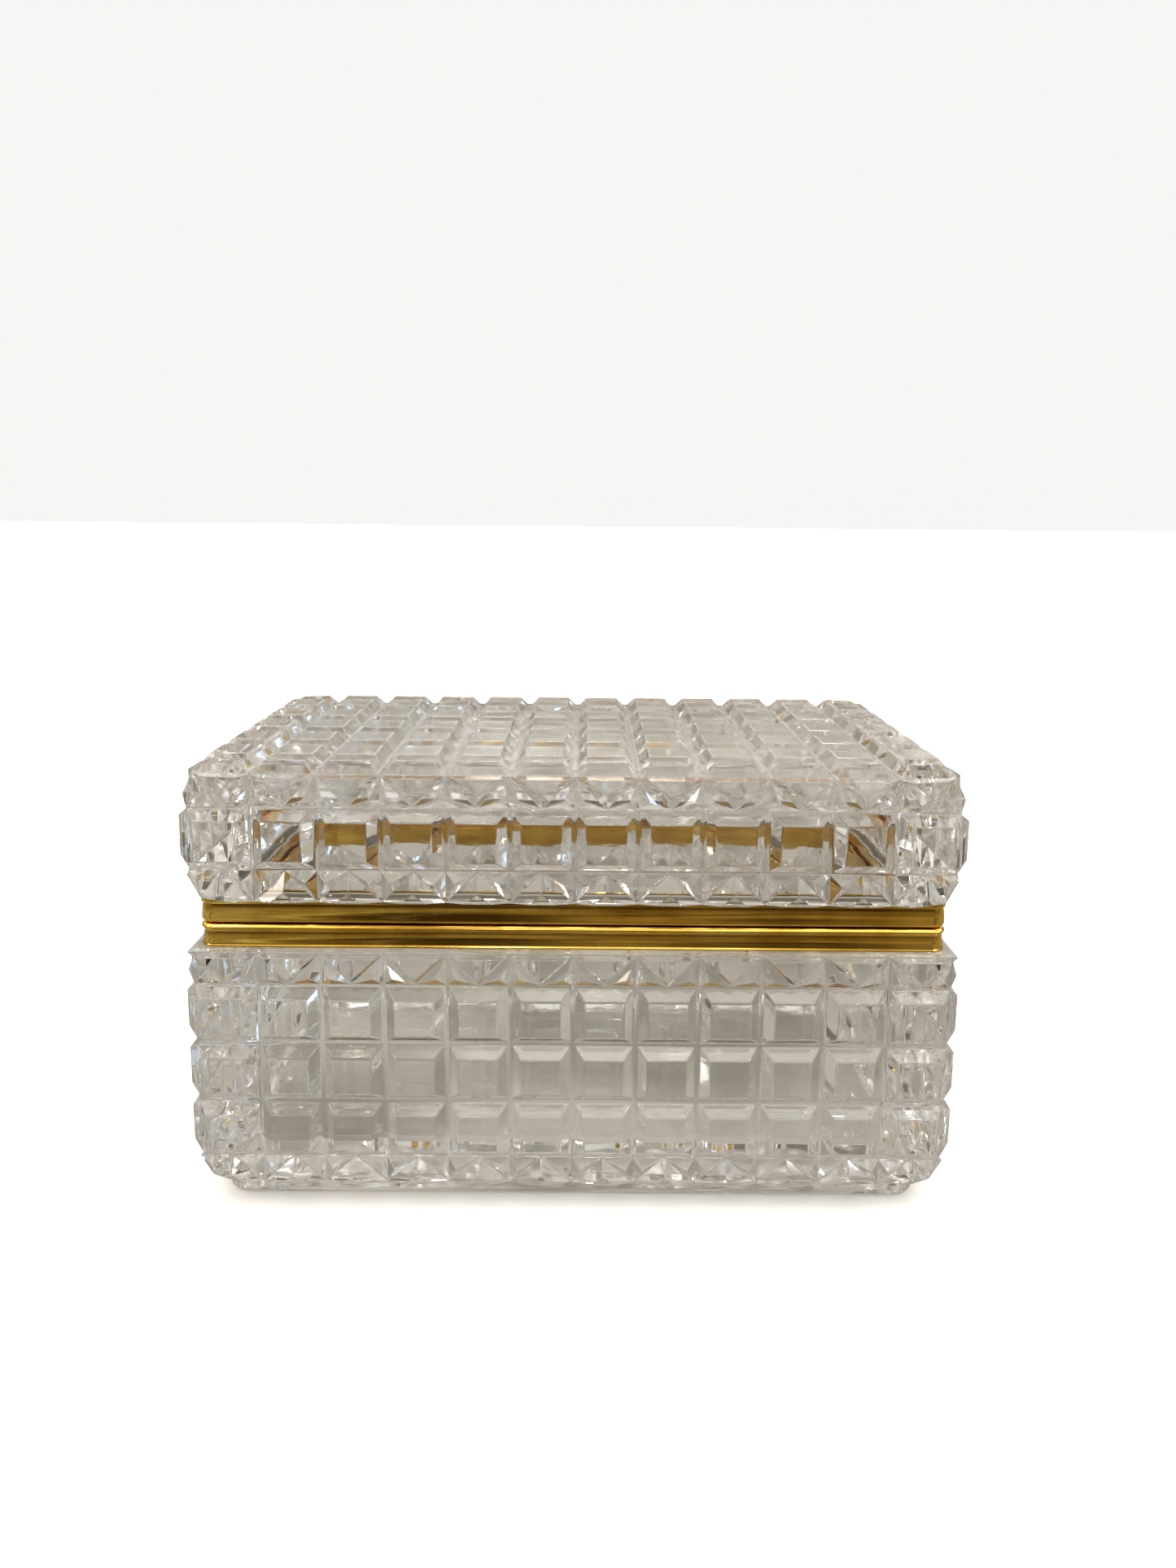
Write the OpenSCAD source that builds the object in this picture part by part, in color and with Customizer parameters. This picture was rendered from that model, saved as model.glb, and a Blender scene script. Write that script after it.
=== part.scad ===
// A rectangular cut-crystal casket with a hinged crystal lid and two gilt brass rim bands.
// X runs across the front, Y runs from the front (-Y) to the hinge (+Y), and Z is up.
// The origin is on the table, under the middle of the casket.

/* [Cut pattern] */
// Spacing of the columns of blocks across the front
pitch = 16; // [15.6:0.1:16.2]
// Columns of blocks across the front
columns = 12; // [8:1:14]
// Columns of blocks across each end
end_columns = 6; // [5:1:6]
// Full rows of blocks across the top of the lid
top_rows = 5; // [4:1:5]
// How far a block stands out from its grooves
block_rise = 3; // [2.4:0.1:3]
// How far a triangle facet stands out
facet_rise = 2.2; // [1.8:0.1:2.4]

/* [Glass] */
// Front to back of the glass, from groove to groove
core_d = 93.6; // [92:0.1:100]
// Thickness of the glass walls behind the grooves
wall = 8; // [7:0.5:10]
// Height of the plain foot
foot_h = 7; // [5:0.5:9]
// How far the foot is set back from the grooves
foot_inset = 3.8; // [2:0.2:6]
// Rows of blocks on the base
base_rows = 3; // [2:1:4]
// Height of one row of blocks on the base
base_row_h = 15.8; // [14:0.1:17]
// Height of the row of triangles at the bottom of the base
base_low_h = 7.1; // [6:0.1:9]
// Height of the row of triangles at the top of the base
base_high_h = 8.1; // [7:0.1:9]
// Height of the thin lip above those triangles
lip_h = 1; // [0.6:0.1:1.4]
// Height of the row of blocks on the lid
lid_row_h = 16.4; // [14:0.1:18]
// Height of each row of triangles on the lid
lid_facet_h = 8.2; // [7:0.1:9]
// Thickness of the floor above the table
floor_t = 14.4; // [11:0.2:18]
// Thickness of the lid's top under the grooves
ceiling_t = 9; // [7:0.5:10]
// Radius of the upright corners inside
cavity_r = 9; // [7:0.5:12]

/* [Brass] */
// Visible height of the base band
base_band_h = 6; // [5.5:0.1:8]
// Visible height of the lid band
lid_band_h = 6.2; // [5.5:0.1:8]
// Gap between the two bands when the lid is shut
joint_gap = 0.4; // [0.2:0.1:0.6]
// Thickness of the brass
brass_t = 0.8; // [0.6:0.1:1]
// How far the bands are set back from the grooves
band_inset = 1; // [0.8:0.1:1.4]
// Radius of the bands' outer corners
band_r = 4; // [3:0.5:5]
// How far the locating rim rises into the lid
rim_rise = 2; // [1:0.2:2.6]

/* [Hinge] */
// Length of the hinge
hinge_len = 64; // [50:1:80]
// Radius of the knuckles
knuckle_r = 1.8; // [1.6:0.1:1.8]
// Radius of the hinge pin
pin_r = 0.9; // [0.7:0.05:1]
// Angle at which the stop nibs hold the lid
open_angle = 100; // [95:1:105]

/* [Hidden] */
$fn = 48;

glass_colour = [0.86, 0.87, 0.86];
brass_colour = [0.78, 0.58, 0.22];
bedding_colour = [0.9, 0.88, 0.82];

core_w = columns * pitch;
outer_w = core_w + 2 * block_rise;
outer_d = core_d + 2 * block_rise;

// Heights, from the table up
low_z = foot_h;
blocks_z = low_z + base_low_h;
high_z = blocks_z + base_rows * base_row_h;
lip_z = high_z + base_high_h;
base_top = lip_z + lip_h;
base_band_top = base_top + base_band_h;
lid_band_z = base_band_top + joint_gap;
lid_z = lid_band_z + lid_band_h;
lid_blocks_z = lid_z + lid_facet_h;
lid_high_z = lid_blocks_z + lid_row_h;
lid_top = lid_high_z + lid_facet_h;

// Where the grooves run
function even_lines(count, length) = [for (i = [0:count]) -length / 2 + i * length / count];
column_lines = even_lines(columns, core_w);
end_lines = even_lines(end_columns, core_d);
top_lines = concat(-core_d / 2, even_lines(top_rows, top_rows * pitch), core_d / 2);
base_row_lines = [for (i = [0:base_rows]) blocks_z + i * base_row_h];
lid_row_lines = [lid_blocks_z, lid_high_z];

// The channels, from the outer wall of the band to its inner wall, as insets from the grooves
channel_in = band_inset + brass_t;
bedding_t = 0.8;
neck_in = channel_in + bedding_t;
neck_h = 4.8;
neck_r = 2.5;
flange_t = 0.8;
flange_gap = 0.6;
lid_flange_in = wall + flange_gap + flange_t;
base_flange_in = lid_flange_in + 0.4;
flange_h = 4;
flange_r = 7.5;
rim_t = 0.8;

// The hinge
joint_z = base_band_top + joint_gap / 2;
band_back = core_d / 2 - band_inset;
axis_off = knuckle_r + 0.3;
axis_y = band_back + axis_off;
leaf_t = 0.9;
pin_fit = 0.03;
nib_gap = 0.02;
nib_r = norm([axis_off, joint_gap / 2]) - nib_gap;
knuckles = 5;
knuckle_gap = 0.3;
knuckle_len = (hinge_len - (knuckles - 1) * knuckle_gap) / knuckles;
pin_head_r = 1.6;
pin_head_t = 0.8;
arm_slope = 0.7;
bite = 1;

// A box on the table plane, centred in X and Y
module slab(w, d, z0, z1) {
    translate([-w / 2, -d / 2, z0]) cube([w, d, z1 - z0]);
}

// An upright block with round corners, drawn as an inset from the groove planes
module rounded_slab(inset, r, z0, z1) {
    w = core_w - 2 * inset;
    d = core_d - 2 * inset;
    slab(w - 2 * r, d, z0, z1);
    slab(w, d - 2 * r, z0, z1);
    for (x = [-1, 1], y = [-1, 1])
        translate([x * (w / 2 - r), y * (d / 2 - r), z0]) cylinder(r = r, h = z1 - z0);
}

// One sawn tooth for each space between two grooves; x runs along the edge, -y is outward
module block_teeth(lines) {
    for (i = [0:len(lines) - 2])
        polygon([[lines[i], 0], [lines[i] + block_rise, -block_rise],
                 [lines[i + 1] - block_rise, -block_rise], [lines[i + 1], 0],
                 [lines[i + 1], bite], [lines[i], bite]]);
}

// The profile of a row of triangles that stands on its point (+1) or on its base (-1)
module facet_tooth(z0, z1, up) {
    point = up > 0 ? z0 : z1;
    edge = up > 0 ? z1 : z0;
    polygon([[point, bite], [point, 0], [point + up * facet_rise, -facet_rise],
             [edge - up * 3, -facet_rise], [edge - up * 0.3, -facet_rise * 0.65], [edge, 0], [edge, bite]]);
}

// Plan of the glass, with a groove at each column line
module plan() {
    square([core_w, core_d], center = true);
    for (s = [0, 180]) rotate(s) {
        translate([0, -core_d / 2]) block_teeth(column_lines);
        rotate(90) translate([0, -core_w / 2]) block_teeth(end_lines);
    }
}

// Upright profile of one side of the base; x is height, -y is outward
module base_side() {
    facet_tooth(low_z, blocks_z, -1);
    block_teeth(base_row_lines);
    facet_tooth(high_z, lip_z, 1);
    polygon([[lip_z, bite], [lip_z, 0], [lip_z + lip_h * 0.3, -1.1], [base_top - lip_h * 0.2, -1.1],
             [base_top, -0.6], [base_top, bite]]);
}

// Upright profile of one side of the lid
module lid_side() {
    facet_tooth(lid_z, lid_blocks_z, -1);
    block_teeth(lid_row_lines);
    facet_tooth(lid_high_z, lid_top, 1);
}

// Profile of a whole piece of glass: width in x, height in y
module elevation(width, z0, z1) {
    translate([-width / 2, z0]) square([width, z1 - z0]);
    for (s = [0, 1]) mirror([s, 0]) translate([width / 2, 0]) rotate(90) children();
}

module along_y(length) {
    rotate([90, 0, 0]) linear_extrude(length, center = true) children();
}

module along_x(length) {
    rotate([90, 0, 90]) linear_extrude(length, center = true) children();
}

// A groove along one arm of a triangle; the arm runs from a top corner down to the middle of the cell
module arm_groove(run, drop) {
    reach = facet_rise + 0.6;
    length = norm([run, drop]);
    spare = 4;
    rotate([0, atan2(run, -drop), 0]) translate([0, 0, -spare]) linear_extrude(length + 2 * spare)
        polygon([[0, 0], [reach, -reach], [-reach / arm_slope, -reach]]);
}

// All the arms along one row of triangles on one face
module face_arms(lines, z0, z1, up) {
    cell = lines[1] - lines[0];
    for (i = [0:len(lines) - 2], s = [0, 1])
        translate([(lines[i] + lines[i + 1]) / 2, 0, (z0 + z1) / 2]) mirror([s, 0, 0])
            mirror([0, 0, up > 0 ? 0 : 1]) translate([-cell / 2, 0, (z1 - z0) / 2])
                arm_groove(cell / 2, z1 - z0);
}

// The arms of a row on all four faces, kept between the row's own lines
module row_arms(z0, z1, up) {
    intersection() {
        slab(outer_w + 2, outer_d + 2, z0, z1);
        for (s = [0, 180]) rotate([0, 0, s]) {
            translate([0, -core_d / 2, 0]) face_arms(column_lines, z0, z1, up);
            rotate([0, 0, 90]) translate([0, -core_w / 2, 0]) face_arms(end_lines, z0, z1, up);
        }
    }
}

// The space inside a piece of glass
module cavity(z0, z1) {
    rounded_slab(wall, cavity_r, z0, z1);
}

module base_glass() {
    color(glass_colour) difference() {
        union() {
            intersection() {
                translate([0, 0, low_z]) linear_extrude(base_top - low_z) plan();
                along_y(outer_d) elevation(core_w, low_z, base_top) base_side();
                along_x(outer_w) elevation(core_d, low_z, base_top) base_side();
            }
            rounded_slab(foot_inset, 6, 0, low_z + 1);
            rounded_slab(neck_in, neck_r, base_top - 1, base_top + neck_h);
        }
        row_arms(low_z, blocks_z, -1);
        row_arms(high_z, lip_z, 1);
        cavity(floor_t, base_top + neck_h + 1);
    }
}

module lid_glass() {
    color(glass_colour) difference() {
        union() {
            intersection() {
                translate([0, 0, lid_z]) linear_extrude(lid_top + block_rise - lid_z) plan();
                along_y(outer_d) {
                    elevation(core_w, lid_z, lid_top) lid_side();
                    translate([0, lid_top]) rotate(180) block_teeth(column_lines);
                }
                along_x(outer_w) {
                    elevation(core_d, lid_z, lid_top) lid_side();
                    translate([0, lid_top]) rotate(180) block_teeth(top_lines);
                }
            }
            rounded_slab(neck_in, neck_r, lid_z - neck_h, lid_z + 1);
        }
        row_arms(lid_z, lid_blocks_z, -1);
        row_arms(lid_high_z, lid_top, 1);
        cavity(lid_z - neck_h - 1, lid_top - ceiling_t);
    }
}

// A channel that caps a glass rim; the web is at z0, and the walls stand up from it
module channel(z0, outer_h, inner_in) {
    difference() {
        rounded_slab(band_inset, band_r, z0, z0 + outer_h);
        rounded_slab(channel_in, band_r - brass_t, z0 + brass_t, z0 + outer_h + 1);
        rounded_slab(inner_in, flange_r, z0 - 1, z0 + outer_h);
    }
    difference() {
        rounded_slab(wall + flange_gap, cavity_r - flange_gap, z0, z0 + brass_t + flange_h);
        rounded_slab(inner_in, flange_r, z0 - 1, z0 + outer_h);
    }
}

// Turns a part drawn standing up on z0 = 0 over, so that its web is at the top
module hang_from(z) {
    translate([0, 0, z]) mirror([0, 0, 1]) children();
}

module base_band() {
    color(brass_colour) hang_from(base_band_top) channel(0, base_band_h, base_flange_in);
}

module lid_band() {
    color(brass_colour) translate([0, 0, lid_band_z]) channel(0, lid_band_h, lid_flange_in);
}

// Plaster between a channel and the neck of the glass
module bedding(outer_h) {
    difference() {
        rounded_slab(channel_in, band_r - brass_t, brass_t, outer_h);
        rounded_slab(neck_in, neck_r, outer_h - neck_h, outer_h + 1);
        cavity(0, outer_h + 1);
    }
    difference() {
        cavity(brass_t, brass_t + flange_h);
        rounded_slab(wall + flange_gap, cavity_r - flange_gap, 0, outer_h);
    }
}

module base_bedding() {
    color(bedding_colour) hang_from(base_band_top) bedding(base_band_h);
}

module lid_bedding() {
    color(bedding_colour) translate([0, 0, lid_band_z]) bedding(lid_band_h);
}

module locating_rim() {
    color(brass_colour) difference() {
        rounded_slab(base_flange_in, flange_r, base_top + 1.5, base_band_top + rim_rise);
        rounded_slab(base_flange_in + rim_t, flange_r - rim_t, base_top, base_band_top + rim_rise + 1);
    }
}

// A cylinder along X on the hinge axis, from x0 to x1
module on_axis(r, x0, x1) {
    translate([x0, axis_y, joint_z]) rotate([0, 90, 0]) cylinder(r = r, h = x1 - x0);
}

function knuckle_x(i) = -hinge_len / 2 + i * (knuckle_len + knuckle_gap);

// A knuckle and the web that carries it down to the leaf
module knuckle(i) {
    x = knuckle_x(i);
    on_axis(knuckle_r, x, x + knuckle_len);
    translate([x, band_back, joint_z - knuckle_r]) cube([knuckle_len, axis_off, knuckle_r - joint_gap]);
}

// A leaf below the axis, with the knuckles numbered first, first + 2, and so on
module leaf(first, height) {
    difference() {
        union() {
            translate([-hinge_len / 2, band_back, joint_z - knuckle_r - height])
                cube([hinge_len, leaf_t, height]);
            for (i = [first:2:knuckles - 1]) knuckle(i);
        }
        on_axis(pin_r + pin_fit, -hinge_len, hinge_len);
    }
}

// A nib on an outer knuckle, whose flat top the lid band lands on when the lid is open; the lid's corner clears its back
module stop_nib(i) {
    length = knuckle_len * 0.4;
    x = knuckle_x(i) + knuckle_len * 0.3;
    root = pin_r + 0.4;
    module part_from(y) {
        translate([x, axis_y, joint_z]) rotate([90 - open_angle, 0, 0])
            translate([0, y, root]) cube([length, 0.5 - y, axis_off - nib_gap - root]);
    }
    part_from(0);
    intersection() {
        on_axis(nib_r, x, x + length);
        part_from(-1);
    }
}

module base_hinge_leaf() {
    color(brass_colour) {
        leaf(0, base_band_h - knuckle_r - 0.4);
        for (i = [0, knuckles - 1]) stop_nib(i);
    }
}

module lid_hinge_leaf() {
    color(brass_colour) translate([0, 0, joint_z]) mirror([0, 0, 1]) translate([0, 0, -joint_z])
        leaf(1, lid_band_h - knuckle_r - 0.4);
}

module hinge_pin() {
    end = hinge_len / 2 + 0.1;
    color(brass_colour) {
        on_axis(pin_r, -end, end);
        for (s = [0, 1]) mirror([s, 0, 0]) on_axis(pin_head_r, end, end + pin_head_t);
    }
}

base_glass();
base_band();
base_bedding();
locating_rim();
lid_glass();
lid_band();
lid_bedding();
base_hinge_leaf();
lid_hinge_leaf();
hinge_pin();
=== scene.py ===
# %% [markdown]
# # A cut-crystal casket
# The casket is a clear crystal box and lid, each capped with a gilt brass band, and hinged at the back.
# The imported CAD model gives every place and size. Blender adds the softened cutting, the band mouldings and the
# finishes. Work is in millimetres inside each mesh, and the mesh is brought down to metres when it is finished.

import math
import random

import bmesh
import bpy
from mathutils import Matrix, Vector


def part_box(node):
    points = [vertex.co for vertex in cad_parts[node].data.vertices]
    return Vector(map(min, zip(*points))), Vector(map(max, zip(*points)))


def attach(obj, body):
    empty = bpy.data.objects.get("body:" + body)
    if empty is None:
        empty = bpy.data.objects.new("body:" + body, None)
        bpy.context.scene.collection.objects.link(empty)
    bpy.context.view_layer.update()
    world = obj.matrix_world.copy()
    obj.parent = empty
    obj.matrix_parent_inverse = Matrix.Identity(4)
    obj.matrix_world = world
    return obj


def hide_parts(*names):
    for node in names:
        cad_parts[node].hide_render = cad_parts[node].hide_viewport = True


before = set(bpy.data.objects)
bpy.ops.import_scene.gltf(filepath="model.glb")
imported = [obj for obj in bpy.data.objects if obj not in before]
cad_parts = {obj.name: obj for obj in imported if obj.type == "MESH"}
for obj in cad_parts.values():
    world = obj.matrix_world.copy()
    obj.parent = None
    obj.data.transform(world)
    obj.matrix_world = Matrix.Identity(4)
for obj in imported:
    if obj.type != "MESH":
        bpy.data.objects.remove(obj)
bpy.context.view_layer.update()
MM = 0.001
UP = Vector((0, 0, 1))
chance = random.Random(11)

# %% [markdown]
# ## Levels
# The cutting is a grid. Each column of blocks is one cell wide, and the rows are at fixed heights. The outer box of
# a piece of glass is its groove planes plus one block's height on each side, so the groove planes come from the box.
# Glass that touches plaster or brass stands off it by a hair, because two faces in one place would fight.

# %% Levels of the cutting
RISE = 3.0
base_low, base_high = (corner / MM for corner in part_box("base_glass"))
lid_low, lid_high = (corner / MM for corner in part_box("lid_glass"))
CORE_W = base_high.x - base_low.x - 2 * RISE
CORE_D = base_high.y - base_low.y - 2 * RISE
COLUMNS, END_COLUMNS, TOP_ROWS = 12, 6, 5
NECK_H = 4.8
FOOT_Z = 7.0
HAIR = 0.04
BASE_TOP = base_high.z - NECK_H
LID_Z = lid_low.z + NECK_H
BASE_STEP, LID_STEP = BASE_TOP - HAIR, LID_Z + HAIR
NECK_IN, HOLLOW_IN = 2.6 + HAIR, 8.0 - HAIR
NECK_R, HOLLOW_R = 2.5, 9.0
CORNER = 6.0
LID_TOP = lid_high.z - RISE
BASE_ROWS = [14.1, 29.9, 45.7, 61.5]
LIP_Z = BASE_TOP - 1.0
LID_ROWS = [91.4, 107.8]
base_band_top = (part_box("base_band")[1] / MM).z
lid_band_foot = (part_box("lid_band")[0] / MM).z
print("groove planes:", round(CORE_W, 2), "by", round(CORE_D, 2), "levels:", BASE_TOP, LID_Z, LID_TOP)

# %% [markdown]
# ## Node helper and colours
# Hex colours are how a swatch is written down; Blender's nodes want linear light, so one function turns them.


# %% Node and colour helpers
def linear(hex_colour):
    """An sRGB hex colour as linear red, green, blue and alpha."""
    parts = [int(hex_colour[i : i + 2], 16) / 255 for i in (1, 3, 5)]
    return [p / 12.92 if p <= 0.04045 else ((p + 0.055) / 1.055) ** 2.4 for p in parts] + [1.0]


def add(tree, kind, values=None, links=None, **settings):
    """Adds one node: settings are its own, values and links go to its inputs by name or number."""
    made = tree.nodes.new(kind)
    for name, value in settings.items():
        setattr(made, name, value)
    for name, value in (values or {}).items():
        made.inputs[name].default_value = value
    for name, socket in (links or {}).items():
        tree.links.new(socket, made.inputs[name])
    return made


def start_material(name):
    """An empty material, its node tree and its output node."""
    material = bpy.data.materials.new(name)
    material.use_nodes = True
    material.node_tree.nodes.clear()
    return material, material.node_tree, add(material.node_tree, "ShaderNodeOutputMaterial")


def per_metre(millimetres):
    """A texture's scale for features of this size."""
    return 1000.0 / millimetres


# %% [markdown]
# ## Crystal
# Lead crystal was pressed in an iron mould, then its cuts were polished with fire and acid. It is colourless and
# bends light more than window glass. The mould leaves long, low waves, and polishing leaves short ones, so what is
# seen through a facet is never ruler straight. Bumps carry those waves; the facets themselves are real geometry.
# The hollow was only moulded, never cut, so it ripples more and has a slight satin, strongest on the lid's ceiling.
# That area is picked by X and Y alone, so the lid's outer top and the underside of the foot have it too.
# Rays that only ask whether a lamp is hidden go straight through, so the hollow and the floor are lit as they
# would be by all the light that the facets scatter inwards.

# %% Crystal material
crystal, tree, output = start_material("lead_crystal_pressed_and_polished")
place = add(tree, "ShaderNodeTexCoord")
waves = add(tree, "ShaderNodeTexNoise", {"Scale": per_metre(22), "Detail": 1.0}, {"Vector": place.outputs["Object"]})
long_waves = add(
    tree, "ShaderNodeBump", {"Strength": 1.0, "Distance": 0.1 * MM}, {"Height": waves.outputs["Fac"]}
)
parts = add(tree, "ShaderNodeSeparateXYZ", links={"Vector": place.outputs["Object"]})
within = []
for letter, half in (("X", CORE_W / 2 - CORNER), ("Y", CORE_D / 2 - CORNER)):
    size = add(tree, "ShaderNodeMath", links={0: parts.outputs[letter]}, operation="ABSOLUTE")
    within.append(add(tree, "ShaderNodeMath", {1: half * MM}, {0: size.outputs["Value"]}, operation="LESS_THAN"))
inside = add(
    tree,
    "ShaderNodeMath",
    links={0: within[0].outputs["Value"], 1: within[1].outputs["Value"]},
    operation="MULTIPLY",
)
ripple = add(tree, "ShaderNodeTexNoise", {"Scale": per_metre(13), "Detail": 1.0}, {"Vector": place.outputs["Object"]})
moulded = add(
    tree,
    "ShaderNodeBump",
    {"Distance": 0.16 * MM},
    {"Strength": inside.outputs["Value"], "Height": ripple.outputs["Fac"], "Normal": long_waves.outputs["Normal"]},
)
leaning = add(
    tree,
    "ShaderNodeMapping",
    {"Rotation": (0.3, math.radians(-35), 0.4), "Scale": (1.0, 1.0, 3.0)},
    {"Vector": place.outputs["Object"]},
)
streaks = add(tree, "ShaderNodeTexNoise", {"Scale": per_metre(9), "Detail": 2.0}, {"Vector": leaning.outputs["Vector"]})
short_waves = add(
    tree,
    "ShaderNodeBump",
    {"Strength": 1.0, "Distance": 0.035 * MM},
    {"Height": streaks.outputs["Fac"], "Normal": moulded.outputs["Normal"]},
)
ceiling = add(
    tree,
    "ShaderNodeMapRange",
    {"From Min": 0.1, "From Max": 0.104, "To Min": 0.05, "To Max": 0.075},
    {"Value": parts.outputs["Z"]},
)
satin = add(
    tree,
    "ShaderNodeMath",
    links={0: inside.outputs["Value"], 1: ceiling.outputs["Result"]},
    operation="MULTIPLY",
)
glass = add(
    tree,
    "ShaderNodeBsdfPrincipled",
    {"Base Color": linear("#fdfcfa"), "IOR": 1.54, "Transmission Weight": 1.0},
    {"Roughness": satin.outputs["Value"], "Normal": short_waves.outputs["Normal"]},
)
ray = add(tree, "ShaderNodeLightPath")
clear = add(tree, "ShaderNodeBsdfTransparent", {"Color": linear("#f2f1ef")})
lit = add(
    tree,
    "ShaderNodeMixShader",
    links={0: ray.outputs["Is Shadow Ray"], 1: glass.outputs["BSDF"], 2: clear.outputs["BSDF"]},
)
tree.links.new(lit.outputs["Shader"], output.inputs["Surface"])
print("material:", crystal.name)

# %% [markdown]
# ## Gilt brass
# The bands are rolled brass strip, polished and gilt. A thin warm gold lies over the brass, a little darker where
# fingers and time have dulled it. Rolling left fine lines along the strip. They run along X on the long sides and
# along Y on the ends, so the noise is squeezed in height only.


# %% Brass material
def brass_material(name, bright, dull, roughness):
    """Polished metal with dulled patches, rolling lines and a few scratches."""
    material, tree, output = start_material(name)
    place = add(tree, "ShaderNodeTexCoord")
    patches = add(
        tree, "ShaderNodeTexNoise", {"Scale": per_metre(18), "Detail": 3.0}, {"Vector": place.outputs["Object"]}
    )
    tone = add(tree, "ShaderNodeValToRGB", links={"Fac": patches.outputs["Fac"]})
    tone.color_ramp.elements[0].position = 0.38
    tone.color_ramp.elements[0].color = linear(dull)
    tone.color_ramp.elements[1].position = 0.62
    tone.color_ramp.elements[1].color = linear(bright)
    squeeze = add(tree, "ShaderNodeMapping", {"Scale": (1.0, 1.0, 60.0)}, {"Vector": place.outputs["Object"]})
    lines = add(
        tree, "ShaderNodeTexNoise", {"Scale": per_metre(14), "Detail": 3.0}, {"Vector": squeeze.outputs["Vector"]}
    )
    rough = add(
        tree,
        "ShaderNodeMapRange",
        {"From Min": 0.3, "From Max": 0.7, "To Min": roughness * 0.75, "To Max": roughness * 1.35},
        {"Value": lines.outputs["Fac"]},
    )
    rolled = add(tree, "ShaderNodeBump", {"Strength": 0.35, "Distance": 0.01 * MM}, {"Height": lines.outputs["Fac"]})
    metal = add(
        tree,
        "ShaderNodeBsdfPrincipled",
        {"Metallic": 1.0},
        {"Base Color": tone.outputs["Color"], "Roughness": rough.outputs["Result"], "Normal": rolled.outputs["Normal"]},
    )
    tree.links.new(metal.outputs["BSDF"], output.inputs["Surface"])
    print("material:", name)
    return material


gilt = brass_material("gilt_brass_rolled_and_polished", "#e2b958", "#c2973c", 0.12)
drawn = brass_material("drawn_brass_rod", "#d2ac62", "#a9863f", 0.3)

# %% [markdown]
# ## Plaster
# Fine plaster beds the bands on the glass. It only shows through the crystal, as a matt cream line.

# %% Plaster material
plaster, tree, output = start_material("bedding_plaster_cast")
place = add(tree, "ShaderNodeTexCoord")
grain = add(tree, "ShaderNodeTexNoise", {"Scale": per_metre(2), "Detail": 4.0}, {"Vector": place.outputs["Object"]})
cream = add(tree, "ShaderNodeValToRGB", links={"Fac": grain.outputs["Fac"]})
cream.color_ramp.elements[0].color = linear("#cfc7b2")
cream.color_ramp.elements[1].color = linear("#e6e0d0")
pitted = add(tree, "ShaderNodeBump", {"Strength": 0.4, "Distance": 0.1 * MM}, {"Height": grain.outputs["Fac"]})
matt = add(
    tree,
    "ShaderNodeBsdfPrincipled",
    {"Roughness": 0.85},
    {"Base Color": cream.outputs["Color"], "Normal": pitted.outputs["Normal"]},
)
tree.links.new(matt.outputs["BSDF"], output.inputs["Surface"])
print("material:", plaster.name)

# %% [markdown]
# ## The core of a piece of glass
# The cutting is a grid scored on a plain block. Planes split its faces along each groove, which leaves one face for
# each block and each triangle. Only upright faces are scored from the side, so the top keeps its own spacing.


# %% Scoring helpers
def upright(face):
    return abs(face.normal.z) < 0.5


def plain_block(low, high):
    """A box on the groove planes, between two heights."""
    bm = bmesh.new()
    bmesh.ops.create_cube(bm, size=1.0)
    bmesh.ops.scale(bm, vec=(CORE_W, CORE_D, high - low), verts=bm.verts)
    bmesh.ops.translate(bm, vec=(0, 0, (low + high) / 2), verts=bm.verts)
    return bm


def even_lines(count, length):
    """Places inside a length that split it evenly."""
    return [-length / 2 + length * i / count for i in range(1, count)]


def score(bm, axis, places, wanted):
    """Splits the wanted faces along planes across one axis."""
    across = Vector([float(i == axis) for i in range(3)])
    for place in places:
        bm.normal_update()
        faces = [f for f in bm.faces if wanted(f)]
        geom = [*faces, *(e for f in faces for e in f.edges), *(v for f in faces for v in f.verts)]
        bmesh.ops.bisect_plane(
            bm, geom=list(dict.fromkeys(geom)), dist=1e-4, plane_co=across * place, plane_no=across
        )
    bm.normal_update()


def cells_between(bm, low, high):
    """The upright faces whose middle is between two heights."""
    return [f for f in bm.faces if upright(f) and low < f.calc_center_median().z < high]


# %% [markdown]
# ## Blocks
# Each block is a low pyramid with its top cut off, and the wheel leaves a narrow flat along each groove. A first
# inset draws that flat and a second one raises the block. At the upright corners there is no flat: the slopes of two
# blocks meet there and run on as one facet. No two cuts are alike, so each top leans by a fraction of a degree.

# %% Raise the blocks
GROOVE = 0.6


def close_corners(bm, faces):
    """Takes the groove flats away along the upright corners of the core."""
    for v in {v for f in faces for v in f.verts if upright(f)}:
        if abs(abs(v.co.x) - CORE_W / 2) < GROOVE * 1.1 and abs(abs(v.co.y) - CORE_D / 2) < GROOVE * 1.1:
            v.co.x, v.co.y = math.copysign(CORE_W / 2, v.co.x), math.copysign(CORE_D / 2, v.co.y)
    bmesh.ops.remove_doubles(bm, verts=bm.verts, dist=1e-3)
    slivers = [f for f in bm.faces if f.calc_area() < 1e-4]
    bmesh.ops.delete(bm, geom=slivers, context="FACES")
    print("slivers taken off the corners:", len(slivers))


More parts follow.
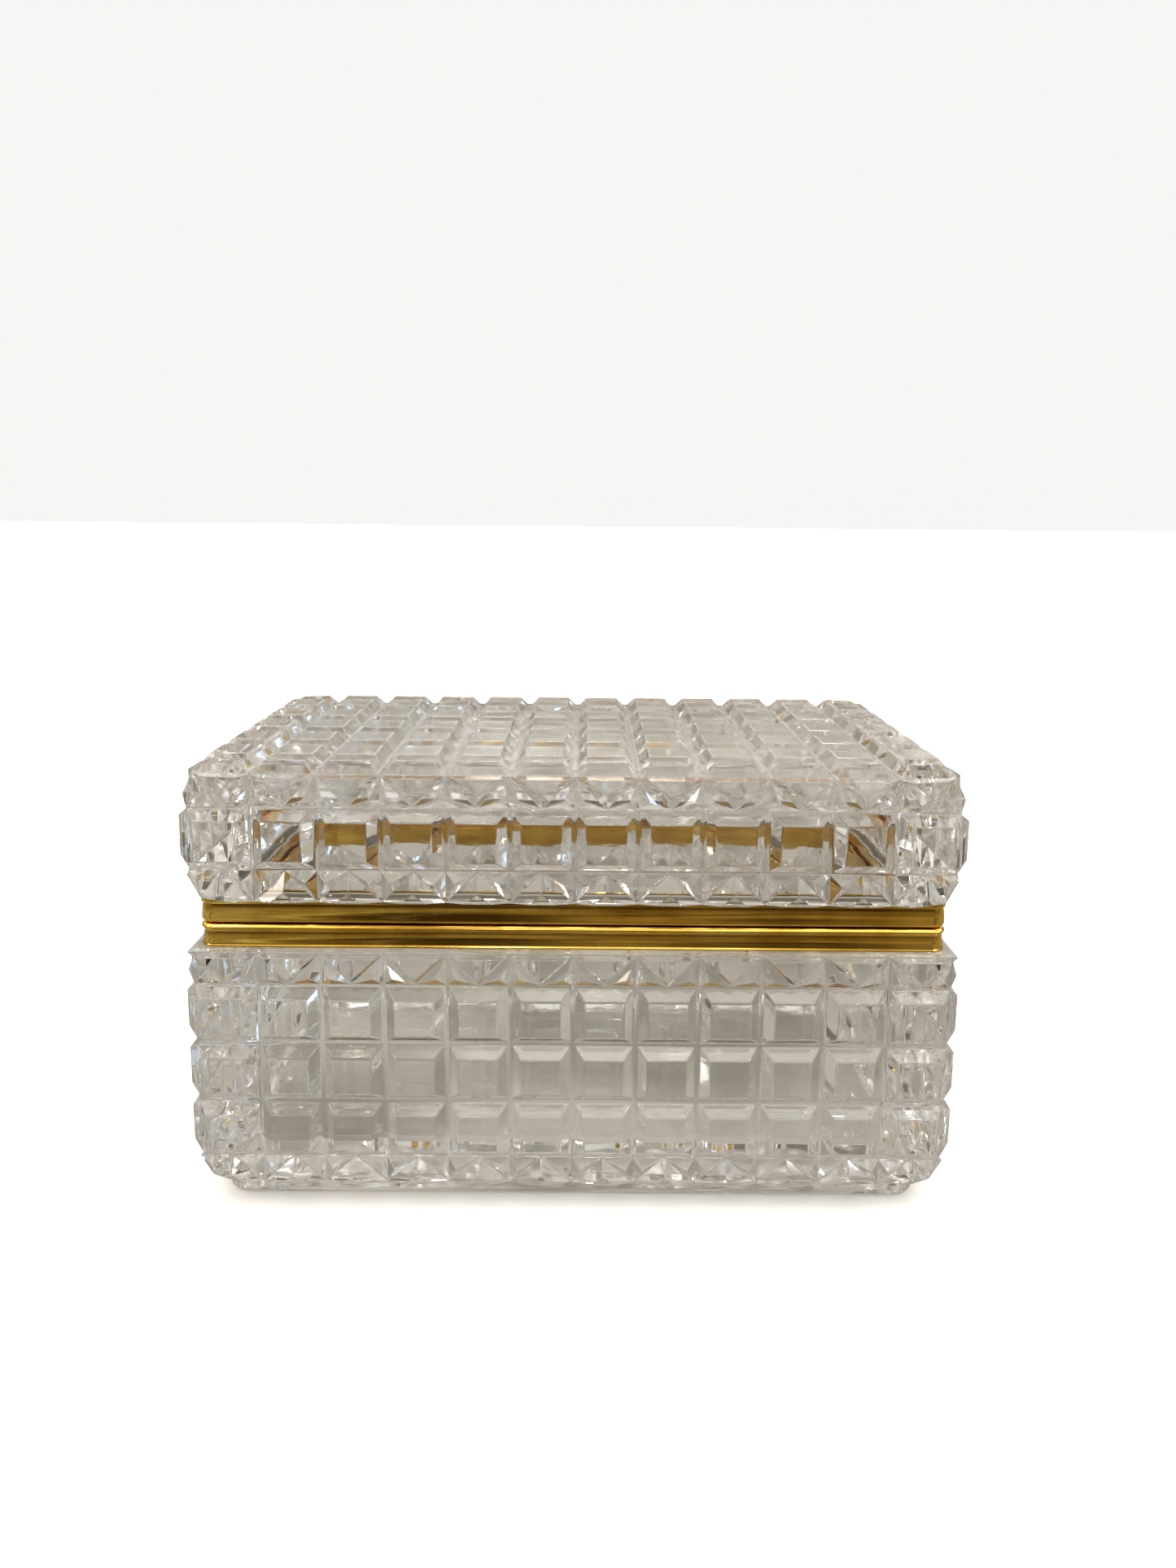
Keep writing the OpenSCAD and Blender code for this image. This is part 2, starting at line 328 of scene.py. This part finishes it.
def raise_blocks(bm, faces, lean):
    """Turns flat cells into blocks whose tops lean a little, never past the block's full height."""
    bmesh.ops.inset_individual(bm, faces=faces, thickness=GROOVE, depth=0, use_even_offset=True)
    close_corners(bm, faces)
    bmesh.ops.inset_individual(bm, faces=faces, thickness=RISE - GROOVE, depth=RISE, use_even_offset=True)
    bm.normal_update()
    for face in faces:
        out = face.normal.copy()
        side = out.cross(UP) if upright(face) else Vector((1, 0, 0))
        other = out.cross(side)
        middle = face.calc_center_median()
        a, b = chance.uniform(-0.5, 0.5), chance.uniform(-0.5, 0.5)
        for v in face.verts:
            s = math.copysign(1, (v.co - middle).dot(side))
            t = math.copysign(1, (v.co - middle).dot(other))
            v.co -= out * lean * (1 + a * s + b * t)


# %% [markdown]
# ## Triangles
# Above and below the blocks runs a row of triangles. Two cuts run from the ends of a cell's base line to the middle
# of its other edge. The triangle between them is a low window, and the two right-angled ones beside it are
# three-sided pyramids. An edge split and two connecting cuts make the three faces, and insets raise them.


# %% Triangle helpers
def split_cells(bm, cells, base_z, point_z):
    """Cuts each cell from the ends of its base line to the middle of its opposite edge."""
    for cell in cells:
        along = cell.normal.cross(UP)
        edge = next(e for e in cell.edges if all(abs(v.co.z - point_z) < 0.01 for v in e.verts))
        base = sorted((v for v in cell.verts if abs(v.co.z - base_z) < 0.01), key=lambda v: v.co.dot(along))
        middle = bmesh.utils.edge_split(edge, edge.verts[0], 0.5)[1]
        for corner in (base[0], base[-1]):
            bmesh.ops.connect_verts(bm, verts=[middle, corner])


def shape_window(face, base_z, point_z, half, setback, rise):
    """Places the raised middle of a triangle: half its width on the base line, and how far its point is set back."""
    out = face.normal.copy()
    along = out.cross(UP)
    places = [v.co.dot(along) for v in face.verts]
    middle, reach = (min(places) + max(places)) / 2, (max(places) - min(places)) / 2
    toward = math.copysign(1, point_z - base_z)
    for v in face.verts:
        u = v.co.dot(along) - middle
        plane = round(v.co.dot(out) - 0.5, 3)
        if abs(v.co.z - point_z) < abs(v.co.z - base_z):
            u, z, height = 0.0, point_z - toward * setback, rise[1]
        else:
            u, z, height = u / reach * half, base_z + toward * 0.5, rise[0]
        v.co = out * (plane + height) + along * (middle + u) + UP * z


def raise_triangles(bm, base_z, point_z, half, setback, rise):
    """Cuts one row of cells into windows and pyramids."""
    low, high = sorted((base_z, point_z))
    cells = cells_between(bm, low, high)
    typical = max(f.calc_area() for f in cells)
    split_cells(bm, cells, base_z, point_z)
    bm.normal_update()
    parts = cells_between(bm, low, high)
    windows = [f for f in parts if f.calc_area() > 0.4 * typical]
    pyramids = [f for f in parts if f.calc_area() <= 0.4 * typical]
    bmesh.ops.inset_individual(bm, faces=pyramids, thickness=2.1, depth=2.3, use_even_offset=True)
    bmesh.ops.inset_individual(bm, faces=windows, thickness=0.5, depth=0.5, use_even_offset=True)
    for face in windows:
        shape_window(face, base_z, point_z, half, setback, rise)
    bmesh.ops.collapse(bm, edges=list(dict.fromkeys(e for f in pyramids for e in f.edges)), uvs=False)
    print("triangles:", len(windows), "windows and", len(pyramids), "pyramids")


# %% [markdown]
# ## Corners
# The outermost rows are rounded off where two sides meet: the glass is drawn in towards the middle there, most at
# the very top and the very bottom.


# %% Draw in the corners
def draw_in(bm, start, end, by):
    """Pulls the upright corners in, from nothing at one height to a full amount at another."""
    for v in bm.verts:
        reach = (v.co.z - start) / (end - start)
        if reach > 0.01 and abs(v.co.x) > CORE_W / 2 - CORNER and abs(v.co.y) > CORE_D / 2 - CORNER:
            v.co.x -= math.copysign(by * reach, v.co.x)
            v.co.y -= math.copysign(by * reach, v.co.y)
    bm.normal_update()


# %% [markdown]
# ## Outlines
# The foot, the neck, the hollow inside and the brass bands all follow one rounded rectangle, drawn at an inset from
# the groove planes. A quad with its corners rounded by a vertex bevel gives that outline, and outlines at several
# heights are bridged into a wall. Every outline has the same number of points, so the bridges stay straight.

# %% Outline helpers
CORNER_STEPS = 8


def outline(bm, inset, radius, z):
    """The edges of a rounded rectangle at an inset from the groove planes."""
    width, depth = CORE_W - 2 * inset, CORE_D - 2 * inset
    verts = bmesh.ops.create_grid(bm, x_segments=1, y_segments=1, size=0.5)["verts"]
    bmesh.ops.scale(bm, vec=(width, depth, 1), verts=verts)
    bmesh.ops.translate(bm, vec=(0, 0, z), verts=verts)
    known = set(bm.edges) - {e for v in verts for e in v.link_edges}
    bmesh.ops.bevel(
        bm, geom=verts, affect="VERTICES", offset=radius, segments=CORNER_STEPS, profile=0.5, material=-1
    )
    edges = [e for e in bm.edges if e not in known]
    bmesh.ops.delete(bm, geom=list(dict.fromkeys(f for e in edges for f in e.link_faces)), context="FACES_ONLY")
    return edges


def wall(bm, steps, closed=False):
    """Bridges outlines, each given as an inset, a corner radius and a height. Returns the first and the last."""
    loops = [outline(bm, *step) for step in steps]
    for a, b in zip(loops, loops[1:]):
        bmesh.ops.bridge_loops(bm, edges=a + b)
    if closed:
        bmesh.ops.bridge_loops(bm, edges=loops[-1] + loops[0])
    return loops[0], loops[-1]


def open_end(bm, z):
    """Takes off the flat end of a core and returns the edges round the opening."""
    end = max(
        (f for f in bm.faces if abs(f.calc_center_median().z - z) < 0.01 and not upright(f)),
        key=lambda f: f.calc_area(),
    )
    edges = list(end.edges)
    bmesh.ops.delete(bm, geom=[end], context="FACES_ONLY")
    return edges


def join_flat(bm, outer, inner, facing):
    """Fills the flat ring between two closed lines."""
    bmesh.ops.triangle_fill(bm, use_beauty=True, edges=outer + inner, normal=(0, 0, facing))


# %% [markdown]
# ## Soft edges
# Fire polishing rounds every edge and fills every groove a little. A Bevel modifier does that, and a weight on each
# edge says how much: most in the grooves between blocks, and least on the small triangles, which are crisper.


# %% Finish a mesh
def weigh_edges(bm, block_rows, flat_top):
    """Full rounding on the outer edges among the blocks, and less than half of it elsewhere."""
    full, crisp, flat_angle = 1.0, 0.45, math.radians(14)
    weight = bm.edges.layers.float.new("bevel_weight_edge")
    for edge in bm.edges:
        if edge.calc_face_angle(0) < flat_angle:
            continue
        z = (edge.verts[0].co.z + edge.verts[1].co.z) / 2
        among_blocks = block_rows[0] + 0.1 < z < block_rows[1] - 0.1 or z > flat_top
        outside = max(abs(edge.verts[0].co.x) - CORE_W / 2, abs(edge.verts[0].co.y) - CORE_D / 2) > -0.5
        edge[weight] = full if among_blocks and (outside or z > flat_top) else crisp


def to_object(bm, name, material, body, slot, *nodes):
    """Turns a finished mesh into a piece that rides on a CAD body and stands for its CAD nodes."""
    bmesh.ops.recalc_face_normals(bm, faces=bm.faces)
    bmesh.ops.scale(bm, vec=(MM, MM, MM), verts=bm.verts)
    mesh = bpy.data.meshes.new(name)
    bm.to_mesh(mesh)
    bm.free()
    mesh.materials.append(material)
    mesh.shade_smooth()
    piece = bpy.data.objects.new(name, mesh)
    bpy.context.scene.collection.objects.link(piece)
    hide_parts(*nodes)
    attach(piece, body)
    print(name, "faces:", len(mesh.polygons), "box:", [round(d / MM, 1) for d in piece.dimensions])
    return piece


def soften(piece, width, segments):
    """Rounds edges and keeps the facets between them flat."""
    bevel = piece.modifiers.new("soft_edges", "BEVEL")
    bevel.width = width * MM
    bevel.segments = segments
    bevel.limit_method = "WEIGHT"
    bevel.use_clamp_overlap = False
    flat = piece.modifiers.new("flat_facets", "WEIGHTED_NORMAL")
    flat.weight = 80


# %% [markdown]
# ## The crystal box
# Three rows of blocks stand between two rows of triangles, over a plain foot. A thin lip runs under the band. The
# neck above it is hidden in the band's channel, and the hollow has round corners and a rounded edge to its floor.

# %% Base glass
bm = plain_block(FOOT_Z, BASE_STEP)
score(bm, 2, [*BASE_ROWS, LIP_Z], upright)
score(bm, 0, even_lines(COLUMNS, CORE_W), upright)
score(bm, 1, even_lines(END_COLUMNS, CORE_D), upright)
blocks = cells_between(bm, BASE_ROWS[0], BASE_ROWS[-1])
lip = cells_between(bm, LIP_Z, BASE_STEP)
raise_triangles(bm, FOOT_Z, BASE_ROWS[0], 3.2, 4.2, (2.2, 2.2))
raise_triangles(bm, LIP_Z, BASE_ROWS[-1], 6.4, 1.9, (2.0, 2.2))
raise_blocks(bm, blocks, 0.06)
bmesh.ops.inset_region(bm, faces=lip, thickness=0.25, depth=1.0, use_boundary=True, use_even_offset=True)
draw_in(bm, BASE_ROWS[0], FOOT_Z, 1.9)
under = open_end(bm, FOOT_Z)
foot_start, foot_end = wall(
    bm, [(3.8, 6, FOOT_Z), (3.8, 6, 2.6), (4.1, 5.7, 1.2), (4.8, 5.0, 0.35), (6.0, 3.8, 0.0)]
)
join_flat(bm, under, foot_start, -1)
bmesh.ops.contextual_create(bm, geom=foot_end)
above = open_end(bm, BASE_STEP)
neck_start, floor_edge = wall(
    bm,
    [
        (NECK_IN, NECK_R, BASE_STEP),
        (NECK_IN, NECK_R, BASE_STEP + NECK_H),
        (HOLLOW_IN, HOLLOW_R, BASE_STEP + NECK_H),
        (HOLLOW_IN, HOLLOW_R, 20.4),
        (8.4, 8.6, 17.4),
        (9.7, 7.4, 15.3),
        (11.6, 6.0, 14.5),
        (14.0, 5.0, 14.4),
    ],
)
join_flat(bm, above, neck_start, 1)
bmesh.ops.contextual_create(bm, geom=floor_edge)
weigh_edges(bm, (BASE_ROWS[0], BASE_ROWS[-1]), math.inf)
base_crystal = to_object(bm, "base_crystal", crystal, "base", "crystal", "base_glass")
soften(base_crystal, 0.42, 3)

# %% [markdown]
# ## The crystal lid
# One row of blocks stands between two rows of triangles. The top has five full rows and a narrow half row at the
# front and the back. The lid's cuts are crisper than the box's, so its edges are rounded less.

# %% Lid glass
bm = plain_block(LID_STEP, LID_TOP)
score(bm, 2, LID_ROWS, upright)
score(bm, 0, even_lines(COLUMNS, CORE_W), upright)
score(bm, 1, even_lines(END_COLUMNS, CORE_D), upright)


def on_top(face):
    return face.normal.z > 0.5


top_pitch = CORE_W / COLUMNS
score(bm, 0, even_lines(COLUMNS, CORE_W), on_top)
score(bm, 1, [top_pitch * (i - TOP_ROWS / 2) for i in range(TOP_ROWS + 1)], on_top)
blocks = cells_between(bm, *LID_ROWS) + [f for f in bm.faces if on_top(f)]
raise_triangles(bm, LID_STEP, LID_ROWS[0], 3.5, 5.2, (2.2, 2.2))
raise_triangles(bm, LID_TOP, LID_ROWS[1], 5.5, 3.75, (1.5, 2.2))
raise_blocks(bm, blocks, 0.05)
draw_in(bm, LID_ROWS[0], LID_STEP, 1.9)
draw_in(bm, LID_ROWS[1], LID_TOP, 1.4)
below = open_end(bm, LID_STEP)
neck_start, ceiling_edge = wall(
    bm,
    [
        (NECK_IN, NECK_R, LID_STEP),
        (NECK_IN, NECK_R, LID_STEP - NECK_H),
        (HOLLOW_IN, HOLLOW_R, LID_STEP - NECK_H),
        (HOLLOW_IN, HOLLOW_R, 101.0),
        (8.4, 8.6, 104.0),
        (9.7, 7.4, 106.1),
        (11.6, 6.0, 106.9),
        (14.0, 5.0, 107.0),
    ],
)
join_flat(bm, below, neck_start, -1)
bmesh.ops.contextual_create(bm, geom=ceiling_edge)
weigh_edges(bm, LID_ROWS, LID_TOP + 0.1)
lid_crystal = to_object(bm, "lid_crystal", crystal, "lid", "crystal", "lid_glass")
soften(lid_crystal, 0.34, 3)

# %% [markdown]
# ## The brass bands
# Each band is one strip bent into a channel: a moulded outer face, a flat web on the glass rim and a flange inside
# the box. The flange leaves a narrow slot to the plaster. The face is what shows. The base band has a half-round bead
# at the top and a thin lip at the bottom; the lid band is plain, with a faint step at the top and a rounded lower
# edge. Both are swept round the outline.


# %% Band profiles
def arc(inset, z, radius, start, end, steps):
    """Points on an arc in a band's profile; an angle of 0 points outwards and 90 points up."""
    angles = [math.radians(start + (end - start) * i / steps) for i in range(steps + 1)]
    return [(inset - radius * math.cos(a), z + radius * math.sin(a)) for a in angles]


def swept(profile, top_radius):
    """A closed ring with this profile, whose corner radius shrinks as the inset grows."""
    bm = bmesh.new()
    steps = [(inset, max(0.6, top_radius - (inset - 1.0)) if inset < 5 else 7.5, z) for inset, z in profile]
    wall(bm, steps, closed=True)
    return bm


BRASS, FLANGE = 0.8, 4.8
base_profile = [
    (1.75, BASE_TOP),
    (1.2, BASE_TOP),
    (1.03, BASE_TOP + 0.12),
    (1.0, BASE_TOP + 0.32),
    (1.06, BASE_TOP + 0.5),
    (1.26, BASE_TOP + 0.72),
    (1.29, BASE_TOP + 1.0),
    (1.3, BASE_TOP + 1.8),
    (1.36, BASE_TOP + 2.6),
    (1.46, BASE_TOP + 3.3),
    (1.6, base_band_top - 2.1),
    (1.68, base_band_top - 1.75),
    (1.6, base_band_top - 1.55),
    *arc(1.62, base_band_top - 0.95, 0.62, -50, 32, 6),
    (1.5, base_band_top - 0.14),
    (1.66, base_band_top - 0.03),
    (1.9, base_band_top),
    (9.4, base_band_top),
    (9.75, base_band_top - 0.1),
    (9.8, base_band_top - 0.4),
    (9.8, base_band_top - FLANGE),
    (9.1, base_band_top - FLANGE),
    (9.1, base_band_top - BRASS),
    (1.8, base_band_top - BRASS),
]
base_ring = to_object(swept(base_profile, 4), "base_rim_band", gilt, "base", "gilt_brass", "base_band")
lid_profile = [
    (1.8, lid_band_foot + BRASS),
    (9.0, lid_band_foot + BRASS),
    (9.0, lid_band_foot + FLANGE),
    (9.4, lid_band_foot + FLANGE),
    (9.4, lid_band_foot + 0.4),
    (9.3, lid_band_foot + 0.1),
    (9.0, lid_band_foot),
    (2.1, lid_band_foot),
    *arc(1.98, lid_band_foot + 0.9, 0.9, -82, -4, 7),
    (1.12, lid_band_foot + 1.15),
    (1.14, lid_band_foot + 1.8),
    (1.2, lid_band_foot + 2.7),
    (1.3, lid_band_foot + 3.6),
    (1.46, LID_Z - 1.7),
    (1.56, LID_Z - 1.32),
    (1.3, LID_Z - 1.12),
    (1.04, LID_Z - 1.0),
    (1.0, LID_Z - 0.25),
    (1.06, LID_Z - 0.06),
    (1.25, LID_Z),
    (1.75, LID_Z),
]
lid_ring = to_object(swept(lid_profile, 4), "lid_rim_band", gilt, "lid", "gilt_brass", "lid_band")

# %% [markdown]
# ## The locating rim
# A thin brass ring inside the base band stands a little above the joint and finds the lid as it closes. Its top
# edge is rolled over, so it doesn't catch a finger.

# %% Locating rim
rim_low, rim_high = (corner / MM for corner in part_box("locating_rim"))
rim_profile = [
    (9.8, rim_low.z),
    (9.8, rim_high.z - 0.5),
    (9.86, rim_high.z - 0.2),
    (10.0, rim_high.z - 0.04),
    (10.2, rim_high.z),
    (10.4, rim_high.z - 0.04),
    (10.54, rim_high.z - 0.2),
    (10.6, rim_high.z - 0.5),
    (10.6, rim_low.z),
]
finder = to_object(swept(rim_profile, 4), "lid_locating_ring", gilt, "base", "gilt_brass", "locating_rim")
for ring in (base_ring, lid_ring, finder):
    ring.data.set_sharp_from_angle(angle=math.radians(38))

# %% [markdown]
# ## CAD pieces that stay
# The hinge leaves, the pin and the plaster have the right shapes already, so they only get their finishes.

# %% Finishes for the CAD pieces
for name, material in {
    "base_hinge_leaf": gilt,
    "lid_hinge_leaf": gilt,
    "hinge_pin": drawn,
    "base_bedding": plaster,
    "lid_bedding": plaster,
}.items():
    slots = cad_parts[name].material_slots
    for s in slots:
        s.material = material
    print(name, "slots:", len(slots))

# %% [markdown]
# ## Floor, light and camera
# Clear glass shows nothing but its surroundings, so they matter as much as the material. The floor is a white card to
# the camera. To every other ray it glows with painted light: grey in patches of painted light and shade, painted shade
# dim and brown towards the front, and thin painted cool gleams at the left. A mirrored ray sees the dim front in full
# and a bent one sees less of it.

# %% Floor
bm = bmesh.new()
bmesh.ops.create_grid(bm, x_segments=1, y_segments=1, size=12.0)
mesh = bpy.data.meshes.new("studio_floor")
bm.to_mesh(mesh)
bm.free()
floor = bpy.data.objects.new("studio_floor", mesh)
floor.location.z = -0.2 * MM
bpy.context.scene.collection.objects.link(floor)
pale, tree, output = start_material("pale_card_with_painted_glow")
place = add(tree, "ShaderNodeTexCoord")
spot = add(tree, "ShaderNodeSeparateXYZ", links={"Vector": place.outputs["Object"]})
# Painted shade: towards the front the glow turns dim and brown, in full for mirrored rays and less for bent ones.
near = add(
    tree,
    "ShaderNodeMapRange",
    {"From Min": -0.3, "From Max": -0.11},
    {"Value": spot.outputs["Y"]},
    interpolation_type="SMOOTHSTEP",
)
shade = add(tree, "ShaderNodeTexNoise", {"Scale": per_metre(160), "Detail": 1.0}, {"Vector": place.outputs["Object"]})
painted_front_shade = add(tree, "ShaderNodeValToRGB", links={"Fac": shade.outputs["Fac"]})
painted_front_shade.color_ramp.elements[0].position = 0.4
painted_front_shade.color_ramp.elements[0].color = linear("#3a2f22")
painted_front_shade.color_ramp.elements[1].position = 0.62
painted_front_shade.color_ramp.elements[1].color = linear("#b8aa90")
patch = add(tree, "ShaderNodeTexNoise", {"Scale": per_metre(90), "Detail": 1.0}, {"Vector": place.outputs["Object"]})
patches = add(tree, "ShaderNodeValToRGB", links={"Fac": patch.outputs["Fac"]})
patches.color_ramp.elements[0].position = 0.4
patches.color_ramp.elements[0].color = linear("#8c877d")
patches.color_ramp.elements[1].position = 0.6
patches.color_ramp.elements[1].color = linear("#bcb7ac")
ray = add(tree, "ShaderNodeLightPath")
away = add(tree, "ShaderNodeMath", {0: 1.0}, {1: near.outputs["Result"]}, operation="SUBTRACT")
share = add(tree, "ShaderNodeMapRange", {"To Min": 0.45, "To Max": 1.0}, {"Value": ray.outputs["Is Reflection Ray"]})
painted_shade_share = add(
    tree,
    "ShaderNodeMath",
    links={0: away.outputs["Value"], 1: share.outputs["Result"]},
    operation="MULTIPLY",
)
tone = add(
    tree,
    "ShaderNodeMix",
    links={0: painted_shade_share.outputs["Value"], 6: patches.outputs["Color"], 7: painted_front_shade.outputs["Color"]},
    data_type="RGBA",
)
# Painted glints: thin cool strips glow on the floor at the left, and the facets bend them into small blue-white gleams.
rows = add(
    tree,
    "ShaderNodeTexWave",
    {"Scale": per_metre(34) / 20 * math.pi, "Distortion": 0.0},
    {"Vector": place.outputs["Object"]},
)
thin = add(
    tree,
    "ShaderNodeMapRange",
    {"From Min": 0.93, "From Max": 0.99, "To Min": 0.0, "To Max": 1.0},
    {"Value": rows.outputs["Fac"]},
)
beside = add(tree, "ShaderNodeMath", {1: -0.105}, {0: spot.outputs["X"]}, operation="LESS_THAN")
nearby = add(tree, "ShaderNodeMath", {1: -0.4}, {0: spot.outputs["X"]}, operation="GREATER_THAN")
zone = add(tree, "ShaderNodeMath", links={0: beside.outputs["Value"], 1: nearby.outputs["Value"]}, operation="MULTIPLY")
gleam = add(tree, "ShaderNodeMath", links={0: thin.outputs["Result"], 1: zone.outputs["Value"]}, operation="MULTIPLY")
glow_with_painted_gleams = add(
    tree,
    "ShaderNodeMix",
    {7: (1.3, 1.65, 2.1, 1.0)},
    {0: gleam.outputs["Value"], 6: tone.outputs[2]},
    data_type="RGBA",
)
# Painted light: for every ray but the camera's the floor glows, in place of the light a lit table would bounce.
painted_glow = add(tree, "ShaderNodeEmission", links={"Color": glow_with_painted_gleams.outputs[2]})
card = add(tree, "ShaderNodeBsdfDiffuse", {"Color": linear("#f7f6f4")})
shown = add(
    tree,
    "ShaderNodeMixShader",
    links={0: ray.outputs["Is Camera Ray"], 1: painted_glow.outputs["Emission"], 2: card.outputs["BSDF"]},
)
tree.links.new(shown.outputs["Shader"], output.inputs["Surface"])
mesh.materials.append(pale)


# %% [markdown]
# Narrow lights draw narrow glints: a strip overhead, one at the left and a small cool window at the right. A broad
# sun fills in. It is hidden from glass and metal, where its disc would burn out whole slopes.

# %% Lights
def soft_light(name, place, target, size, power, colour):
    """A rectangular area light that points at a target."""
    data = bpy.data.lights.new(name, "AREA")
    data.shape = "RECTANGLE"
    data.size, data.size_y = size
    data.energy = power
    data.color = linear(colour)[:3]
    light = bpy.data.objects.new(name, data)
    light.location = place
    light.rotation_euler = (Vector(target) - Vector(place)).to_track_quat("-Z", "Y").to_euler()
    bpy.context.scene.collection.objects.link(light)
    print(name, power, "W")


soft_light("overhead_strip", (0.05, 0.1, 1.2), (0, 0, 0.05), (1.1, 0.09), 4.5, "#fff6ea")
soft_light("left_strip", (-1.0, -0.5, 0.7), (0, 0, 0.05), (0.07, 0.8), 2.0, "#fff1df")
soft_light("cool_window", (1.0, -0.25, 0.6), (0, 0, 0.05), (0.07, 0.4), 1.6, "#bcd6ff")
daylight = bpy.data.lights.new("broad_daylight", "SUN")
daylight.energy, daylight.angle = 0.9, math.radians(25)
sky = bpy.data.objects.new("broad_daylight", daylight)
sky.rotation_euler = (math.radians(32), math.radians(-18), 0)
sky.visible_glossy = False
sky.visible_transmission = False
bpy.context.scene.collection.objects.link(sky)

# %% [markdown]
# The room is a warm grey, lighter overhead and broken by soft furniture shapes, with a brown zone low on the side the
# camera stands and a few small lamps above. Mirrored rays find it dim near the horizon and bright higher up.

# %% Surroundings
world = bpy.data.worlds.new("studio")
bpy.context.scene.world = world
world.use_nodes = True
tree = world.node_tree
tree.nodes.clear()
sight = add(tree, "ShaderNodeTexCoord")
direction = add(tree, "ShaderNodeSeparateXYZ", links={"Vector": sight.outputs["Generated"]})
height = add(tree, "ShaderNodeValToRGB", links={"Fac": direction.outputs["Z"]})
height.color_ramp.elements[0].position = 0.1
height.color_ramp.elements[0].color = linear("#a8a399")
height.color_ramp.elements[1].position = 0.75
height.color_ramp.elements[1].color = linear("#efece5")
room_noise = add(tree, "ShaderNodeTexNoise", {"Scale": 3.6, "Detail": 1.5}, {"Vector": sight.outputs["Generated"]})
furniture = add(tree, "ShaderNodeValToRGB", links={"Fac": room_noise.outputs["Fac"]})
furniture.color_ramp.elements[0].position = 0.4
furniture.color_ramp.elements[0].color = linear("#8d8476")
furniture.color_ramp.elements[1].position = 0.56
furniture.color_ramp.elements[1].color = linear("#ffffff")
walls = add(
    tree,
    "ShaderNodeMix",
    {0: 1.0},
    {6: height.outputs["Color"], 7: furniture.outputs["Color"]},
    data_type="RGBA",
    blend_type="MULTIPLY",
)
behind = add(
    tree,
    "ShaderNodeMapRange",
    {"From Min": -0.95, "From Max": -0.7, "To Min": 0.1, "To Max": 1.0},
    {"Value": direction.outputs["Y"]},
    interpolation_type="SMOOTHSTEP",
)
raised = add(
    tree,
    "ShaderNodeMapRange",
    {"From Min": 0.12, "From Max": 0.4},
    {"Value": direction.outputs["Z"]},
    interpolation_type="SMOOTHSTEP",
)
dark_zone = add(
    tree,
    "ShaderNodeMath",
    links={0: behind.outputs["Result"], 1: raised.outputs["Result"]},
    operation="MAXIMUM",
)
room = add(
    tree,
    "ShaderNodeMix",
    {6: linear("#4c3d30")},
    {0: dark_zone.outputs["Value"], 7: walls.outputs[2]},
    data_type="RGBA",
)
spots = add(tree, "ShaderNodeTexVoronoi", {"Scale": 4.2, "Randomness": 0.8}, {"Vector": sight.outputs["Generated"]})
lamps = add(
    tree,
    "ShaderNodeMapRange",
    {"From Min": 0.15, "From Max": 0.11, "To Min": 0.0, "To Max": 9.0},
    {"Value": spots.outputs["Distance"]},
)
overhead = add(tree, "ShaderNodeMath", {1: 0.35}, {0: direction.outputs["Z"]}, operation="GREATER_THAN")
shining = add(
    tree,
    "ShaderNodeMath",
    links={0: lamps.outputs["Result"], 1: overhead.outputs["Value"]},
    operation="MULTIPLY",
)
lit_room = add(
    tree,
    "ShaderNodeMix",
    {0: 1.0},
    {6: room.outputs[2], 7: shining.outputs["Value"]},
    data_type="RGBA",
    blend_type="ADD",
)
seen = add(tree, "ShaderNodeLightPath")
high = add(
    tree,
    "ShaderNodeMapRange",
    {"From Min": 0.08, "From Max": 0.34, "To Min": 0.7, "To Max": 3.3},
    {"Value": direction.outputs["Z"]},
    interpolation_type="SMOOTHSTEP",
)
strength = add(
    tree,
    "ShaderNodeMix",
    {2: 1.0},
    {0: seen.outputs["Is Reflection Ray"], 3: high.outputs["Result"]},
    data_type="FLOAT",
)
backdrop = add(
    tree,
    "ShaderNodeMix",
    {7: linear("#f7f6f4")},
    {0: seen.outputs["Is Camera Ray"], 6: lit_room.outputs[2]},
    data_type="RGBA",
)
glow = add(
    tree, "ShaderNodeBackground", links={"Color": backdrop.outputs[2], "Strength": strength.outputs["Result"]}
)
add(tree, "ShaderNodeOutputWorld", links={"Surface": glow.outputs["Background"]})

# %% [markdown]
# The camera stands close, a little above the lid, and looks slightly down with a wide lens.

# %% Camera
lens = bpy.data.cameras.new("camera")
lens.lens = 22.81
lens.shift_y = -0.081
lens.clip_start = 0.01
camera = bpy.data.objects.new("camera", lens)
bpy.context.scene.collection.objects.link(camera)
bpy.context.scene.camera = camera
yaw, pitch, roll = (math.radians(a) for a in (0.22, 8.31, 0.54))
ahead = Vector((math.sin(yaw) * math.cos(pitch), math.cos(yaw) * math.cos(pitch), -math.sin(pitch)))
right = Vector((math.cos(yaw), -math.sin(yaw), 0))
above = right.cross(ahead)
level = Matrix((right, above, -ahead)).transposed().to_4x4()
camera.matrix_world = Matrix.Translation((0.0021, -0.2842, 0.1805)) @ level @ Matrix.Rotation(roll, 4, "Z")
bpy.context.scene.view_settings.view_transform = "Standard"
# Light trapped in cut glass turns many corners: each total reflection counts as a glossy bounce.
BOUNCES = 32
cycles = bpy.context.scene.cycles
cycles.max_bounces = BOUNCES
cycles.transmission_bounces = BOUNCES
cycles.glossy_bounces = BOUNCES
cycles.caustics_refractive = False
cycles.caustics_reflective = False
